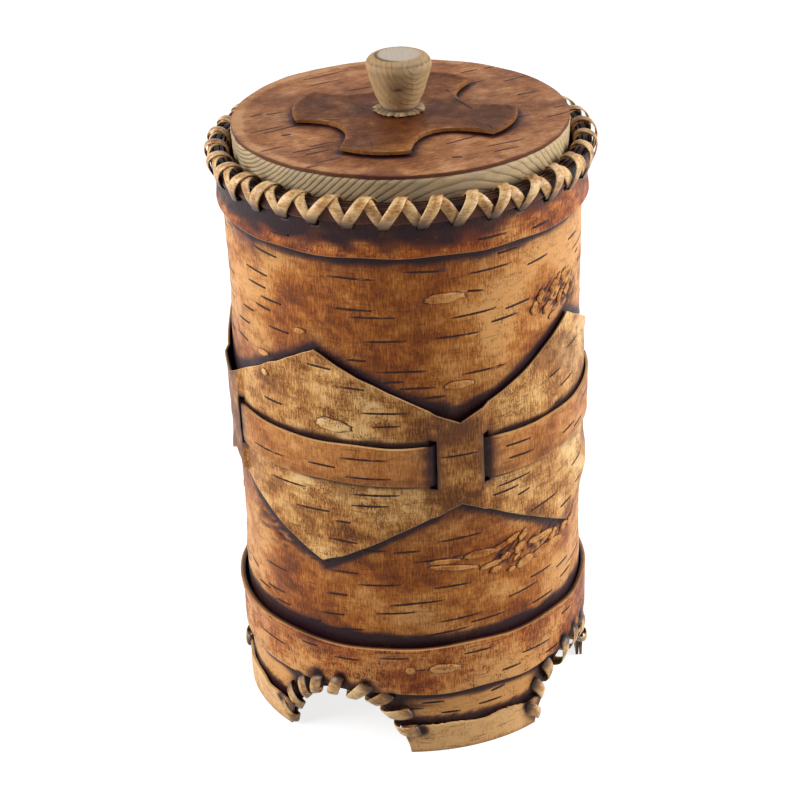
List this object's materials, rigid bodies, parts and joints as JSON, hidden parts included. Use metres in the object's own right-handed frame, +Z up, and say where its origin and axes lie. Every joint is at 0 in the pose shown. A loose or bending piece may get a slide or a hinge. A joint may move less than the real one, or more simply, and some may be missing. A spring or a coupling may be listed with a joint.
{
  "type": "birch bark canister",
  "caption": "Round birch bark canister on arched feet, with bark hoops, a threaded diamond belt, laced edges and a wooden plug lid with a turned knob.",
  "frame": {"origin": "on the ground under the middle of the base", "axes": "+Z up along the canister's axis, out of its mouth; the four arches in the foot face +X, -X, +Y and -Y"},
  "size_m": [0.1084, 0.1084, 0.1951],
  "materials": {
    "wrap_bark": "birch bark, inner side out, toned with stain and waxed",
    "liner_bark": "plain birch bark",
    "hoop_bark": "birch bark, stained dark along its edges",
    "rim_bark": "birch bark, stained dark",
    "belt_bark": "rubbed birch bark with fibres and lenticels",
    "strap_bark": "birch bark strap",
    "lace_bark": "light bark lace, satin",
    "pale_wood": "sawn pale wood, bare",
    "lid_bark": "pinkish birch bark, waxed",
    "knob_wood": "turned wood, bare, with a dark knot"
  },
  "bodies": {
    "canister": {"inner_liner": "liner_bark", "outer_wrap": "wrap_bark", "bottom_disc": "pale_wood", "top_hoop": "hoop_bark", "rim_strip": "rim_bark", "rim_lace_under": "lace_bark", "rim_lace_over": "lace_bark", "diamond_belt": "belt_bark", "belt_strap": "strap_bark", "bottom_hoop": "hoop_bark", "foot_strip_1": "strap_bark", "foot_strip_2": "strap_bark", "foot_strip_3": "strap_bark", "foot_strip_4": "strap_bark", "arch_lace_1": "lace_bark", "arch_lace_2": "lace_bark", "arch_lace_3": "lace_bark", "arch_lace_4": "lace_bark"},
    "lid": {"lid_disc": "pale_wood", "lid_bark": "lid_bark", "lid_cross": "lid_bark", "knob": "knob_wood"}
  },
  "joints": [
    {"name": "lid_lift", "type": "slide", "parent": "canister", "child": "lid", "axis": [0, 0, 1], "range_m": [0, 0.06]}
  ]
}
